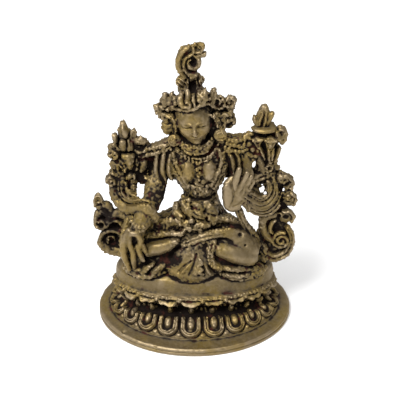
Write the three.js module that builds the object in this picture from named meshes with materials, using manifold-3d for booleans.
// A small cast brass figure of a seated goddess on an oval lotus plinth.
// Figure and plinth are one casting, so there is one mesh.
// Millimetres, +Z up, +X to the viewer's right, the figure faces -Y.

import * as THREE from 'three';
import { mergeVertices } from 'three/addons/utils/BufferGeometryUtils.js';
import Module from 'manifold-3d';

const wasm = await Module();
wasm.setup();

// Plinth
const footWidth = 47;
const footDepth = 39.6;
const footHeight = 1.8;
const footEdge = 0.3; // rounding of the foot's two edges
const ledgeWidth = 1.6; // plain ledge between the foot's edge and the petal tips
const ledgeHeight = 2.4; // height where the lower petals end
const waistHeight = 6.1;
const waistWidth = 33.6;
const waistDepth = 15.8;
const rimHeight = 9.5;
const rimWidth = 38.4;
const rimDepth = 19.4;
const rimThickness = 0.7;
const seatHeight = 14.5;
const seatWidth = 37.8;
const seatDepth = 18;
const seatEdge = 0.5; // rounding of the cushion's edges
const seatBulge = 0.5; // how far the cushion's wall swells
const petalCount = 22;
const petalTurn = -4; // degrees that the middle petal stands left of the middle
const petalRise = 0.95; // how far a lower petal stands off the slope
const upperPetalRise = 0.75;

// Figure, from the cushion to the tip of the topknot
const figureHeight = 55.5;
const figureShift = 0.45; // how far the figure sits right of the plinth's middle

// The figure is drawn on a pattern that counts in seventieths of the whole
// work's height, from the ground up, and is then set to its own height.
const patternTop = 70;
const patternSeat = 14.5;
const scale = figureHeight / (patternTop - patternSeat);
const fusion = 0.3; // how deep the figure is cast into its cushion

const at = ([x, y, z]) => new THREE.Vector3(
  figureShift + x * scale,
  y * scale,
  seatHeight + (z - patternSeat) * scale,
);

const toFront = new THREE.Vector3(0, -1, 0);
const degrees = Math.PI / 180;
const weld = 1e-5; // points closer than this are one point

// Solids from three.js geometry

function solidFrom(geometry) {
  geometry.deleteAttribute('normal');
  geometry.deleteAttribute('uv');
  const merged = mergeVertices(geometry, weld);
  const triVerts = new Uint32Array(merged.index.array);
  const vertProperties = new Float32Array(merged.attributes.position.array);
  return new wasm.Manifold(new wasm.Mesh({ numProp: 3, vertProperties, triVerts }));
}

function signedVolume(positions, faces) {
  let sum = 0;
  const corner = (i) => new THREE.Vector3().fromArray(positions, faces[i] * 3);
  for (let i = 0; i < faces.length; i += 3) {
    sum += corner(i).dot(corner(i + 1).cross(corner(i + 2)));
  }
  return sum / 6;
}

// Faces between two rings, each four-sided patch split along its shorter
// diagonal. One ring may have twice as many points as the other.
function stitch(faces, positions, lower, lowerCount, upper, upperCount) {
  const most = Math.max(lowerCount, upperCount);
  const point = (i) => new THREE.Vector3().fromArray(positions, i * 3);
  for (let i = 0; i < most; i++) {
    const corner = (start, count, step) => start + (Math.floor((step * count) / most) % count);
    const a = corner(lower, lowerCount, i);
    const b = corner(lower, lowerCount, i + 1);
    const c = corner(upper, upperCount, i);
    const d = corner(upper, upperCount, i + 1);
    if (a === b) {
      faces.push(a, d, c);
    } else if (c === d) {
      faces.push(a, b, c);
    } else if (point(a).distanceTo(point(d)) <= point(b).distanceTo(point(c))) {
      faces.push(a, b, d, a, d, c);
    } else {
      faces.push(a, b, c, b, d, c);
    }
  }
}

// A closed skin over a row of rings, with a point at each end.
function skin(rings, firstPoint, lastPoint) {
  const positions = [];
  const starts = [];
  for (const ring of rings) {
    starts.push(positions.length / 3);
    for (const p of ring) positions.push(p.x, p.y, p.z);
  }
  const first = positions.length / 3;
  const last = first + 1;
  positions.push(...firstPoint.toArray(), ...lastPoint.toArray());
  const faces = [];
  for (let r = 0; r < rings.length - 1; r++) {
    stitch(faces, positions, starts[r], rings[r].length, starts[r + 1], rings[r + 1].length);
  }
  const bottom = rings[0].length;
  for (let i = 0; i < bottom; i++) faces.push(first, (i + 1) % bottom, i);
  const top = rings.at(-1).length;
  const topStart = starts.at(-1);
  for (let i = 0; i < top; i++) faces.push(last, topStart + i, topStart + ((i + 1) % top));
  if (signedVolume(positions, faces) < 0) faces.reverse();
  const geometry = new THREE.BufferGeometry();
  geometry.setAttribute('position', new THREE.Float32BufferAttribute(positions, 3));
  geometry.setIndex(faces);
  return solidFrom(geometry);
}

// A value read along a short list, at a share from 0 to 1.
function along(list, share) {
  if (!Array.isArray(list)) return list;
  const place = share * (list.length - 1);
  const before = Math.min(Math.floor(place), list.length - 2);
  return THREE.MathUtils.lerp(list[before], list[before + 1], place - before);
}

// Cross-section of a band with two ridges and a groove between them, across
// and forward, as shares of the half width and half depth.
const twoStrands = [[0.5, 1], [0, 0.2], [-0.5, 1], [-1, -0.5], [1, -0.5]];

// Cross-section with one ridge and a flat back for three sides, round for more.
// Pleats sink every second corner.
function oneStrand(sides, pleats) {
  const spread = sides === 3 ? 2 / Math.sqrt(3) : 1;
  const section = [];
  for (let i = 0; i < sides; i++) {
    const angle = (0.25 + i / sides) * 2 * Math.PI;
    const reach = i % 2 ? 1 - pleats : 1;
    section.push([reach * spread * Math.cos(angle), reach * Math.sin(angle)]);
  }
  return section;
}

// How far a band's pointed end stands out, as a share of its half width
const tipReach = 0.35;

// A band or limb swept along a smooth path: half width across the view, half
// depth towards the viewer, both read along the path.
function band(
  points,
  halfWidth,
  halfDepth,
  { steps, sides = 3, pleats = 0, grooved = false, facing = toFront } = {},
) {
  const curve = new THREE.CatmullRomCurve3(points.map(at), false, 'centripetal');
  const count = steps ?? points.length - 1;
  const section = grooved ? twoStrands : oneStrand(sides, pleats);
  const rings = [];
  for (let step = 0; step <= count; step++) {
    const share = step / count;
    const centre = curve.getPoint(share);
    const tangent = curve.getTangent(share);
    const side = new THREE.Vector3().crossVectors(tangent, facing).normalize();
    const front = new THREE.Vector3().crossVectors(side, tangent).normalize();
    const w = along(halfWidth, share) * scale;
    const d = along(halfDepth, share) * scale;
    rings.push(section.map(([across, forward]) =>
      centre.clone().addScaledVector(side, w * across).addScaledVector(front, d * forward)));
  }
  const startReach = tipReach * along(halfWidth, 0) * scale;
  const endReach = tipReach * along(halfWidth, 1) * scale;
  const start = curve.getPoint(0).addScaledVector(curve.getTangent(0), -startReach);
  const end = curve.getPoint(1).addScaledVector(curve.getTangent(1), endReach);
  return skin(rings, start, end);
}

// A leaf: narrow at the root, full in the middle, blunt at the tip. The shares
// are of its half width and half depth at those three places.
const leafWidths = [0.8, 1, 0.6];
const leafDepths = [1, 0.9, 0.7];

function leaf(points, halfWidth, halfDepth) {
  const widths = leafWidths.map((share) => share * halfWidth);
  const depths = leafDepths.map((share) => share * halfDepth);
  return band(points, widths, depths, { steps: 2 });
}

// A rounded lump: twenty faces, or a finer ball with a number of faces around.
// The twenty-faced one is swollen a little so that its flats lie near the ball.
const lumpSwell = 1.06;

function ball(centre, [rx, ry, rz], { lean = 0, turn = 0, across } = {}) {
  const geometry = across
    ? new THREE.SphereGeometry(1, across, Math.round(across * 0.7))
    : new THREE.IcosahedronGeometry(lumpSwell, 0);
  geometry.rotateX(Math.PI / 2);
  geometry.scale(rx * scale, ry * scale, rz * scale);
  geometry.rotateX(lean * degrees);
  geometry.rotateY(turn * degrees);
  geometry.translate(...at(centre).toArray());
  return solidFrom(geometry);
}

// A round ornament that faces the viewer: back, raised edge, hollow and boss,
// outwards and forward, as shares of its radius and half depth.
const roundelProfile = [[0, -1], [1, -0.8], [0.9, 0.8], [0.5, 0.3], [0, 1.2]];

function roundel(centre, radius, halfDepth, around = 6) {
  const points = roundelProfile.map(([r, h]) =>
    new THREE.Vector2(r * radius * scale, h * halfDepth * scale));
  const geometry = new THREE.LatheGeometry(points, around);
  geometry.rotateX(Math.PI);
  geometry.translate(...at(centre).toArray());
  return solidFrom(geometry);
}

// A string of beads, sunk a little into what carries them.
function beads(points, radius, count) {
  const curve = new THREE.CatmullRomCurve3(points.map(at), false, 'centripetal');
  const list = [];
  for (let i = 0; i < count; i++) {
    const geometry = new THREE.OctahedronGeometry(radius * scale, 0);
    geometry.translate(...curve.getPoint(i / (count - 1)).toArray());
    list.push(solidFrom(geometry));
  }
  return list;
}

// Plinth: one skin of oval rings from the ground to the cushion. Where the two
// rows of petals stand, each ring takes four points to a petal, and the points
// are raised over the petal's edge and boss and stay low between petals.
const plainSides = 2 * petalCount;
const carvedSides = 4 * petalCount;
const petalStart = (-90 + petalTurn) * degrees;

function ovalPoint(width, depth, z, angle) {
  return new THREE.Vector3(0.5 * width * Math.cos(angle), 0.5 * depth * Math.sin(angle), z);
}

function plainRing(width, depth, z) {
  const ring = [];
  for (let i = 0; i < plainSides; i++) {
    ring.push(ovalPoint(width, depth, z, petalStart + (i / plainSides) * 2 * Math.PI));
  }
  return ring;
}

// Heights off the slope from a petal's root to its tip, as shares of its rise:
// on the line between two petals, on the petal's edge and along its middle.
const petalRows = [
  { down: 0.06, between: -0.35, edge: -0.1, middle: -0.2 },
  { down: 0.3, between: -0.35, edge: 1, middle: 0.45 },
  { down: 0.6, between: -0.35, edge: 1.05, middle: 1.15 },
  { down: 0.85, between: -0.3, edge: 0.85, middle: 0.4 },
  { down: 1, between: -0.1, edge: 0, middle: 0.85 },
];

// How far down its slope a point lies, as a share of its row's place: along the
// petal's middle, on its edge and between two petals.
const petalReach = { middle: 1, edge: 0.95, between: 0.9 };
const petalColumns = ['middle', 'edge', 'between', 'edge'];
const nearby = 0.01; // radians, for the direction of the oval at a point

function petalRings(root, tip, rise, rows, shift) {
  return rows.map((row) => {
    const ring = [];
    for (let i = 0; i < carvedSides; i++) {
      const angle = petalStart + (i / carvedSides) * 2 * Math.PI;
      const column = petalColumns[(i + shift) % petalColumns.length];
      const reach = row.down * petalReach[column];
      const high = ovalPoint(...root, angle);
      const low = ovalPoint(...tip, angle);
      const around = ovalPoint(...tip, angle + nearby).sub(low);
      const slope = low.clone().sub(high);
      const outwards = new THREE.Vector3().crossVectors(around, slope).normalize();
      const radial = new THREE.Vector3(Math.cos(angle), Math.sin(angle), 0);
      if (outwards.dot(radial) < 0) outwards.negate();
      ring.push(high.lerp(low, reach).addScaledVector(outwards, row[column] * rise));
    }
    return ring;
  });
}

function plinth() {
  const tip = [footWidth - 2 * ledgeWidth, footDepth - 2 * ledgeWidth, ledgeHeight];
  const waist = [waistWidth, waistDepth, waistHeight];
  const rim = [rimWidth, rimDepth, rimHeight - rimThickness];
  const [rootRow, , bossRow, , tipRow] = petalRows;
  const rings = [
    plainRing(footWidth - 2 * footEdge, footDepth - 2 * footEdge, 0),
    plainRing(footWidth, footDepth, footEdge),
    plainRing(footWidth, footDepth, footHeight - footEdge),
    plainRing(footWidth - 2 * footEdge, footDepth - 2 * footEdge, footHeight),
    plainRing(...tip),
    ...petalRings(waist, tip, petalRise, petalRows, 0).reverse(),
    ...petalRings(waist, rim, upperPetalRise, [rootRow, bossRow, tipRow], 2),
    plainRing(rimWidth, rimDepth, rimHeight),
    plainRing(seatWidth - seatBulge, seatDepth - seatBulge, rimHeight + seatEdge),
    plainRing(seatWidth + seatBulge, seatDepth + seatBulge, (rimHeight + seatHeight) / 2),
    plainRing(seatWidth, seatDepth, seatHeight - seatEdge),
    plainRing(seatWidth - 2 * seatEdge, seatDepth - 2 * seatEdge, seatHeight),
  ];
  return skin(rings, new THREE.Vector3(0, 0, 0), new THREE.Vector3(0, 0, seatHeight));
}

// Torso and neck: oval sections given by centre, half width and half depth
const bodySides = 8;

function body() {
  const section = ([x, y, z, halfWidth, halfDepth]) => {
    const ring = [];
    for (let i = 0; i < bodySides; i++) {
      const angle = ((i + 0.5) / bodySides) * 2 * Math.PI;
      ring.push(at([x + halfWidth * Math.cos(angle), y + halfDepth * Math.sin(angle), z]));
    }
    return ring;
  };
  const bottom = patternSeat - fusion;
  const sections = [
    [0.4, 1.6, bottom, 9.4, 6.4],
    [0.4, 1.8, 20, 7.9, 6],
    [0.6, 2, 27, 5.9, 5.1],
    [0.9, 2, 30.2, 4.4, 4],
    [1, 1.8, 32.3, 4.2, 3.4],
    [0.8, 1.6, 35, 6.7, 3.4],
    [0.5, 1.3, 38, 8, 3.8],
    [0.2, 1.1, 42.5, 7.9, 3.6],
    [0, 0.9, 44.8, 7.3, 3],
    [-0.3, 0.4, 46.4, 3, 2.6],
  ];
  return [
    skin(sections.map(section), at([0.4, 1.6, bottom]), at([-0.3, 0.3, 49])),
    ball([-1.6, -1.9, 39.4], [1.9, 1.3, 2.9], { lean: -8 }),
    ball([3, -1.7, 39.9], [1.8, 1.3, 2.8], { lean: -8 }),
  ];
}

function head() {
  const face = [
    ball([-0.5, 0.1, 51.8], [4.1, 4.4, 4.9], { lean: 14, across: 9 }),
    ball([-0.3, -2.4, 48.6], [2, 1.7, 1.5]),
    band([[-0.5, -3.6, 51.9], [-0.5, -4.6, 50]], [0.4, 0.75], [0.6, 0.9], { steps: 1 }),
    band([[-3.2, -3.2, 51.9], [-0.9, -4.1, 51.9]], 0.35, 0.4),
    band([[2.2, -3.2, 51.9], [-0.1, -4.1, 51.9]], 0.35, 0.4),
    band([[-1.3, -3.7, 48.9], [0.5, -3.7, 48.9]], 0.3, 0.45),
  ];
  const collar = band(
    [[-3.6, -1.4, 47.4], [-2.4, -2.7, 45.7], [2.5, -2.7, 45.7], [3.6, -1.4, 47.8]],
    [0.8, 1.2, 1.2, 0.8],
    1,
  );
  const hair = [
    ball([-0.5, 1.4, 53.6], [4.9, 4.4, 4.6], { across: 7 }),
    ball([-6.2, -0.6, 49.9], [1.7, 1.4, 1.8]),
    roundel([-5.2, -1.2, 47.4], 1.95, 0.9),
    roundel([5.8, -1.2, 48], 2, 0.9),
    band([[3.7, -0.8, 54], [3.8, -0.8, 48]], 1, 1.3),
    band([[-4.5, -0.6, 53.6], [-4.5, -0.5, 47.5]], 0.9, 1.2),
    band([[-0.4, 3.6, 53], [-0.2, 4, 45], [0.1, 4.4, 36.6]], [4, 4.6, 1.8], [1.6, 1.2, 0.8],
      { sides: 5 }),
  ];
  return [...face, collar, ...hair];
}

// Crown: a curved circlet with leaves, and curls between and beside them
function crown() {
  return [
    band(
      [[-5.2, 0.4, 55.8], [-3.4, -3.3, 55.4], [-0.8, -4.4, 54.9], [2, -3.7, 55.5],
        [4.8, 0.4, 56.6]],
      0.8,
      0.8,
      { facing: new THREE.Vector3(0, -0.8, 0.6) },
    ),
    leaf([[-5.8, -0.6, 55.2], [-6.6, -0.8, 56.6], [-7.1, -1, 57.8]], 1.15, 1),
    leaf([[-4.4, -1, 55.8], [-5, -1, 57.2], [-5.5, -1, 58.3]], 1.15, 1),
    leaf([[-2.9, -3, 56], [-3.6, -2.6, 57.6], [-2.9, -1.6, 59.2]], 1.3, 1),
    leaf([[-0.7, -3.3, 56.6], [-1.5, -2.4, 58], [-2, -1.4, 59.2]], 0.8, 0.9),
    roundel([-2.2, -3.5, 56.8], 1.4, 0.9),
    leaf([[1.2, -2.8, 56.2], [0.9, -2, 58], [1.6, -1, 59.4]], 1.2, 1),
    roundel([1.5, -3.1, 56.9], 1.4, 0.9),
    leaf([[3.6, -1.2, 56], [4, -0.8, 57.6], [4.1, -0.4, 59]], 1.1, 1),
    ball([5.4, -0.6, 55.2], [1.7, 1.2, 1.9]),
    band([[6.4, -0.2, 56.4], [7.7, -0.2, 55.4], [7.3, -0.4, 51.8]], [0.9, 1.1, 1.1], 1),
    band([[-9, -0.8, 54.4], [-4.6, -0.4, 55.2]], [1.3, 1.1], 1),
    band([[-8.6, -0.8, 53], [-4.3, -0.4, 52.8]], [0.9, 1.2], 1),
    band([[4, -0.2, 51.8], [8.2, -0.6, 49.8]], [1.8, 1.3], 1.1),
  ];
}

// Topknot: two bound coils and, above them, a flaming crescent
function topknot() {
  return [
    ball([-1, 0.8, 58.2], [3, 2.6, 2.2]),
    ball([-3.1, 0.6, 60.5], [1.4, 1.4, 1.4]),
    ball([0.8, 0.6, 60.3], [1.3, 1.3, 1.4]),
    band([[-2.6, 0.6, 61.6], [-0.8, 0.6, 62], [0.6, 0.6, 61.4]], 0.7, 1.2, { steps: 1 }),
    band([[-1.2, 0.4, 61.2], [-2.8, 0.2, 62.8], [-3.3, 0, 64.9], [-2.8, 0, 66.8],
      [-1.6, 0, 68.1], [-0.1, 0, 68.7]], [1.2, 1.3, 1.3, 1.3, 1.2, 1], 1, { grooved: true }),
    roundel([0.7, 0, 68.7], 1.45, 0.9),
    leaf([[0.4, 0, 67.8], [1.3, 0, 67.4], [2.1, 0, 66.6]], 0.8, 0.8),
    roundel([-0.5, 0, 65.3], 1.75, 0.8),
    band([[-0.9, 0.2, 61], [-0.2, 0, 64.4]], 1, 0.8),
  ];
}

// Arms, with pleated sleeves, armbands and bracelets
function arms() {
  const sleeve = { steps: 2, sides: 10, pleats: 0.2 };
  return [
    band([[-6.8, 0.4, 44.2], [-7.8, 0.1, 40.5], [-8.6, 0, 36]], [1.9, 2.3, 2.3], 2.1, sleeve),
    band([[7.2, 0.4, 44.6], [8.8, 0.2, 40.5], [9.6, 0.2, 36.4]], [1.9, 2.2, 1.9], 2.1, sleeve),
    band([[-8.3, 0.2, 36], [-8.9, -2.2, 33.4], [-10.8, -5.2, 31.2], [-12.6, -6.5, 29],
      [-13.1, -6.8, 26.6]], [1.9, 2.2, 2.2, 1.9, 1.4], [1.7, 1.6, 1.6, 1.5, 1.2],
    { sides: 6 }),
    band([[9.7, 0.3, 36], [10, -1, 33.6], [8.9, -3.2, 33]], 1.7, 1.7, { sides: 5 }),
    band([[-10.6, -1.8, 36], [-7, -1.6, 35.4]], 0.9, 1),
    ...beads([[-10.4, -3.6, 33.6], [-8.4, -3.2, 33.2]], 0.9, 3),
    ...beads([[-14.2, -7.6, 27.6], [-12, -7.9, 27.6]], 0.9, 3),
  ];
}

// Lowered hand: palm out over the knee, thumb and finger closed in a ring
function loweredHand() {
  return [
    ball([-14.1, -6.9, 25.2], [2, 1.3, 1.8]),
    band([[-14.8, -7.2, 26.4], [-16.1, -7.4, 24], [-16.2, -7.3, 20.4], [-15.3, -6.6, 15.6]],
      [0.7, 0.7, 0.65, 0.5], 0.9),
    band([[-13.7, -7.4, 26], [-12.9, -7.6, 24], [-13.1, -7.5, 21.8], [-12.5, -7.2, 19]],
      [0.7, 0.65, 0.6, 0.45], 0.8),
    band([[-14.5, -7.5, 24.6], [-14.4, -7.6, 21.6], [-13.6, -6.9, 16.8]], [0.55, 0.6, 0.5], 0.8,
      { steps: 3 }),
    band([[-12.6, -7.3, 25.4], [-11.5, -7, 20.6]], [0.7, 0.45], 0.8, { steps: 1 }),
    band([[-13.4, -6.2, 21], [-13.6, -5.2, 17], [-13.8, -4.2, 14.3]], 1.1, 1, { steps: 2 }),
  ];
}

// Raised hand: palm to the viewer, fingers up, a leaf tip under it
function raisedHand() {
  const finger = { steps: 1, sides: 4 };
  return [
    ball([8.6, -3.8, 33.6], [2.5, 1.2, 3.3], { turn: 8, across: 7 }),
    band([[7.3, -4.2, 36], [7.7, -4.2, 38.6]], [0.9, 0.75], 0.8, finger),
    band([[9, -4, 36], [9.8, -4.2, 40.2]], 0.68, 0.8, finger),
    band([[9.7, -4, 35.4], [11.2, -4, 38.7]], [0.6, 0.5], 0.7, finger),
    band([[10.3, -3.9, 34.8], [12, -3.8, 38]], [0.6, 0.5], 0.7, finger),
    band([[10.8, -3.6, 33.8], [12.8, -3.4, 37.2]], [0.6, 0.5], 0.7, finger),
    leaf([[10.8, -3.4, 33], [11.9, -3.2, 31.2], [13, -3, 29.4]], 1, 0.8),
  ];
}

// Crossed legs: thighs, shins drawn as long smooth lozenges, cuffs and folds
function legs() {
  const cuff = { steps: 1, sides: 8, pleats: 0.25 };
  return [
    band([[-2.6, 1.2, 24], [-7.4, -0.8, 23.4], [-13.2, -3.4, 20.2]], [4.2, 3.8, 2.6],
      [4.4, 3.8, 2.6], { sides: 8 }),
    band([[3.6, 1.2, 23], [8, -0.8, 21.6], [13, -3.2, 19.4]], [4, 3.6, 2.6], [4.4, 3.8, 2.6],
      { sides: 8 }),
    band([[-12.6, -4.8, 20], [-9, -6, 20.8], [-5, -6.4, 22]], [1.3, 1.6, 1.3], [1.8, 1.9, 1.4],
      { sides: 6 }),
    band([[4.8, -6, 21.2], [8.6, -6.4, 19.9], [12.8, -5.2, 18.9]], [1.6, 2.3, 1.9],
      [1.6, 2, 2], { sides: 6 }),
    ball([0, -1.6, 17.4], [14, 6.6, 4.4]),
    band([[-11.2, -4.8, 23.9], [-4.2, -5.6, 24.6]], 1.6, 1, { grooved: true }),
    band([[-2.2, -6.6, 22.3], [1.4, -6.4, 24.2], [5.4, -5.6, 24.6], [10.6, -4.1, 23.3]],
      [1, 1.5, 1.5, 0.8], 1, { grooved: true }),
    band([[2.6, -6.8, 22.8], [3, -7.2, 20.6], [3.4, -7, 18]], 1.3, 1.2, cuff),
    band([[-3.2, -6.2, 24], [-3, -6.9, 22.4], [-2.6, -6.8, 20.4]], 1.2, 1.1, cuff),
  ];
}

// Hem of the robe: a fan of folds that spreads from its top over its foot. Its
// sides bend back round the lap and its lower edge rises towards them.
const foldCrest = 0.9;
const foldHollow = 0.3;
const hemBend = 1.3;
const hemBack = 3; // how far the fan's buried back stands behind its front
const hemBackShare = 0.7; // half width of that back, as a share of the front's

function fan(top, foot, topSpread, footSpread, folds, sag) {
  const centreAt = (share) => top.map((value, k) => THREE.MathUtils.lerp(value, foot[k], share));
  const rings = [0, 0.5, 1].map((share) => {
    const ring = [];
    const spread = THREE.MathUtils.lerp(topSpread, footSpread, share);
    const [x, y, z] = centreAt(share);
    for (let i = 0; i <= 2 * folds; i++) {
      const across = i / folds - 1;
      const crest = i % 2 ? foldCrest : foldHollow;
      const bend = across * across;
      ring.push(at([x + spread * across, y - crest + hemBend * bend, z + share * sag * bend]));
    }
    const back = hemBackShare * spread;
    ring.push(at([x + back, y + hemBack, z + share * sag]));
    ring.push(at([x - back, y + hemBack, z + share * sag]));
    return ring;
  });
  const inside = (share) => {
    const [x, y, z] = centreAt(share);
    return at([x, y + 0.5 * hemBack, z]);
  };
  return skin(rings, inside(0), inside(1));
}

function hems() {
  return [
    fan([0, -6.2, 21], [-0.3, -8.5, 14.1], 1.4, 5.2, 5, 1.1),
    fan([-9.4, -4.2, 18.6], [-10.9, -6.6, 13.7], 2, 4.2, 4, 1.2),
    fan([8.8, -4, 17.6], [9.9, -7, 13.3], 2.6, 5.4, 4, 1.3),
  ];
}

// Necklaces, belt and pendants
function jewellery() {
  return [
    ...beads([[-4.4, -0.9, 44.8], [-5.2, -1.2, 42], [-4.4, -1.5, 38.9], [-1.8, -1.9, 36]],
      0.95, 6),
    ...beads([[5, -0.8, 44.8], [6, -1, 42], [5.2, -1.4, 38.6], [3, -1.7, 35.6]], 0.95, 6),
    ball([1, -2.4, 40.8], [0.8, 0.8, 1.6]),
    roundel([1.1, -2, 35], 1.8, 0.9),
    ball([1.1, -2.1, 32.6], [1.2, 0.8, 1.2]),
    band([[-3.2, 0.4, 30.6], [0.9, -1.7, 30.2], [5, 0.4, 30.6]], 0.7, 1.1),
    leaf([[2.4, -2, 30], [1.4, -2.9, 28.2], [0.2, -3.4, 26.4]], 1.3, 1.1),
    leaf([[-0.4, -2, 30.4], [-1.8, -2.6, 28.6], [-2.6, -3, 26.6]], 1.3, 1.1),
  ];
}

// Scarf that leaves the shoulders and loops over the left forearm
function scarfLeft() {
  return [
    band([[-6, 0.4, 44.6], [-9, 0, 43.9], [-12, 0, 43]], [1.3, 1, 1.2], 1.4, { sides: 4 }),
    ...beads([[-7.6, -1, 44.4], [-11, -1.1, 43.4]], 0.9, 3),
    band([[-18.8, -0.3, 36], [-19, -0.8, 33], [-17.6, -2.2, 30.7], [-15, -4.8, 30.4],
      [-12.4, -7, 31.6], [-10.4, -6.4, 30.4], [-9.6, -5, 28.2]],
    [1.1, 1.4, 1.5, 1.6, 1.6, 1.4, 0.9], 1, { grooved: true }),
    band([[-17.4, -0.6, 35], [-16.4, -1.4, 32.4], [-12.6, -3.8, 32]], [0.9, 1, 0.8], 1),
    band([[-16.8, 0.6, 38], [-16.6, 0.2, 34], [-14.8, -1.4, 31.8]], 2.1, 0.8),
    band([[-12, 1, 43.6], [-11.8, 1, 39.5], [-11.9, 0.8, 34.8]], [1.8, 2.4, 1.9], 0.7),
  ];
}

// Scarf that swings out from the raised hand and curls down to the knee
function scarfRight() {
  return [
    band([[7, 0.4, 45.4], [9.4, 0.2, 45.3], [12.2, 0, 47.4]], [1.5, 1.3, 1.2], 1.4,
      { sides: 4 }),
    ...beads([[7.4, -1.1, 45.4], [8.9, -1.3, 43]], 0.9, 3),
    band([[11.6, -3, 34], [14.4, -2.2, 31.4], [17.6, -1.1, 31.6], [18.9, -0.4, 34.4],
      [18, -0.1, 37]], [1.4, 2.2, 2.2, 1.9, 1.5], 1, { grooved: true }),
    band([[12, -1.6, 35.6], [14.4, -0.6, 36.9], [17, 0, 36.2]], [2.2, 1.8, 1.4], 1),
    band([[18.4, 0.2, 31], [19, 0.2, 27], [19.2, 0.2, 20]], [1.8, 2.8, 3.2], 0.6),
    ball([20.3, -0.3, 36.4], [2.1, 1.1, 1.9]),
    ball([21.6, -0.3, 32.4], [2, 1.1, 2.7]),
    band([[18.4, -0.8, 29.4], [21.6, -0.5, 28.4], [21.8, -0.5, 25.4]], [1.2, 1.2, 1], 1),
    band([[16.5, -0.8, 21.8], [15.4, -0.8, 25], [17, -0.7, 27.2], [21.2, -0.5, 25]],
      [0.5, 1.1, 1.1, 1], 1),
    roundel([19.3, -0.7, 19.7], 2.5, 1.2, 9),
    band([[21, -0.5, 24.8], [22, -0.6, 21.4], [21.2, -0.7, 16.8], [16.4, -1.2, 15]],
      [1, 1.2, 1.6, 1.4], 1),
    band([[10.4, -2.6, 31], [10.5, -2.6, 28.2], [12.6, -2.7, 24.4], [15.2, -2.4, 20.4],
      [16.9, -1.6, 16]], [1.1, 1.1, 1.4, 1.6, 1.4], 1.1, { grooved: true }),
    ball([15, -1.6, 15], [2.2, 2, 1.6]),
  ];
}

// Scarf ends that curl up beside the left knee
function scrollsLeft() {
  return [
    leaf([[-22.2, -0.8, 28], [-22.9, -0.8, 30.4], [-22.1, -0.8, 32.4]], 1.5, 1),
    band([[-17.8, -0.8, 26.2], [-22.6, -0.8, 27.2]], 1.6, 1),
    roundel([-22.5, -0.8, 25.2], 2.1, 1),
    roundel([-18.8, -0.6, 24.2], 2.8, 1, 7),
    band([[-18.8, -1, 26.6], [-14, -6.4, 26.8]], 1.3, 1),
    roundel([-19.9, -0.6, 20.4], 3.6, 1.3, 9),
    band([[-19, -0.8, 17.8], [-12.8, -3.4, 18.4]], [1.2, 1.5], 1.4),
  ];
}

// Lotus beside the left shoulder: bud, leaves, open petals and a ribbed cup
function lotusLeft() {
  return [
    band([[-15.4, 0.3, 46.4], [-15.5, 0.3, 42.5], [-15.1, 0.2, 38], [-15, 0.2, 34.6]],
      [2, 2.8, 2.2, 1.8], 1, { sides: 5 }),
    leaf([[-16, 0.2, 45.6], [-16.7, 0.2, 48.4], [-16.3, 0.2, 50.4]], 1.5, 1.3),
    leaf([[-17.6, 0, 44.6], [-18.2, 0, 46.6], [-18.3, 0, 48]], 0.8, 0.9),
    leaf([[-14.4, 0, 45.6], [-14.2, 0, 47.4], [-13.9, 0, 48.8]], 0.9, 0.9),
    leaf([[-15.9, -1, 43.4], [-16.6, -1.3, 45.2], [-16.7, -1.1, 47]], 1.1, 0.8),
    ball([-18.6, -0.6, 43.2], [1.6, 1.1, 2.1]),
    ball([-18.1, -0.6, 39.8], [1.8, 1.1, 2]),
    leaf([[-15.3, -1, 43], [-15.2, -1.4, 41.6], [-14.9, -1, 38.8]], 1.4, 0.8),
    leaf([[-14.4, 0, 44.6], [-12.9, -0.2, 46.2], [-11.3, -0.2, 46.8]], 1.2, 1),
    leaf([[-13.2, -0.3, 37.4], [-12.3, -0.4, 39.8], [-11.3, -0.2, 41.4]], 1.1, 1),
    ball([-18.8, -0.4, 36], [2.4, 1.2, 2.4]),
    roundel([-14.9, -0.6, 36.2], 1.6, 0.9, 7),
  ];
}

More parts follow.
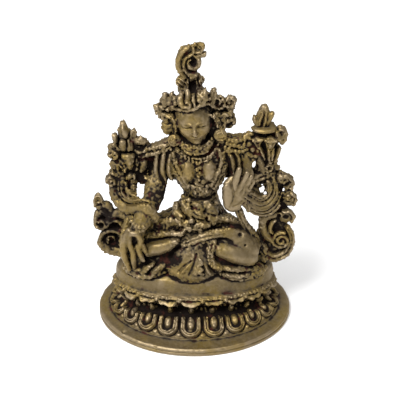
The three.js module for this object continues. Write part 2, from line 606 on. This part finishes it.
// Lotus beside the right shoulder: tiered bud on a seed disc and fluted cup
function lotusRight() {
  const disc = new THREE.CylinderGeometry(2.8 * scale, 2.3 * scale, 1.1 * scale, 10);
  disc.rotateX(Math.PI / 2);
  disc.translate(...at([15.2, -0.4, 48.9]).toArray());
  return [
    solidFrom(disc),
    band([[15.2, 0.2, 48.4], [15.5, 0.2, 45.4], [16.4, 0.2, 42.2], [17.4, 0.2, 36.6]],
      [2.4, 3.1, 2.3, 1.2], [1.6, 1.5, 1.3, 0.9], { sides: 5 }),
    leaf([[14.9, 0.2, 49.4], [14.9, 0, 52.2], [15.1, 0, 54.6]], 1.5, 1.3),
    leaf([[14, -0.4, 49.6], [13.2, -0.4, 51], [12.9, -0.4, 52.4]], 0.9, 1),
    leaf([[16.1, -0.4, 49.8], [16.7, -0.4, 51.6], [17.2, -0.4, 53.2]], 1, 1),
    ball([18.9, -0.3, 47.6], [1.8, 1.1, 2.2]),
    ball([13.7, -1.2, 46.6], [1.4, 1, 1.3]),
    ball([16.6, -1.5, 46.1], [1.4, 1, 1.5]),
    leaf([[17.4, 0, 41], [18.3, 0, 43], [18.7, 0, 45.2]], 1.4, 0.9),
    roundel([16.9, -0.4, 38.9], 1.6, 0.9, 7),
    ball([12.9, -0.3, 44.6], [2.2, 1.2, 2.2]),
    band([[11.8, -0.6, 42.6], [11.7, -1.4, 39.6], [12.2, -2.2, 36.4]], 1.2, 1.3, { steps: 2 }),
    band([[13.8, -0.2, 42.6], [14.6, -0.3, 39.6], [15.8, -0.3, 36.8]], [1.2, 1, 1.2], 1.1,
      { steps: 2 }),
  ];
}

// Everything is one casting: join it all and keep the one outer skin.
function joined(solids) {
  let list = solids;
  while (list.length > 1) {
    const pairs = [];
    for (let i = 0; i < list.length; i += 2) {
      pairs.push(i + 1 < list.length ? list[i].add(list[i + 1]) : list[i]);
    }
    list = pairs;
  }
  return list[0];
}

function outerSkin(solid) {
  const shells = solid.decompose();
  return shells.reduce((best, shell) => (shell.volume() > best.volume() ? shell : best));
}

const casting = outerSkin(joined([
  plinth(),
  ...body(),
  ...head(),
  ...crown(),
  ...topknot(),
  ...arms(),
  ...loweredHand(),
  ...raisedHand(),
  ...legs(),
  ...hems(),
  ...jewellery(),
  ...scarfLeft(),
  ...scarfRight(),
  ...scrollsLeft(),
  ...lotusLeft(),
  ...lotusRight(),
])).getMesh();

const geometry = new THREE.BufferGeometry();
geometry.setAttribute('position', new THREE.BufferAttribute(casting.vertProperties, 3));
geometry.setIndex(new THREE.BufferAttribute(casting.triVerts, 1));
geometry.computeVertexNormals();

const brass = new THREE.MeshStandardMaterial({
  color: 0x7d6c45,
  roughness: 0.45,
  metalness: 0.85,
});

const figure = new THREE.Mesh(geometry, brass);
figure.name = 'tara_figure';

const group = new THREE.Group();
group.add(figure);

export default group;
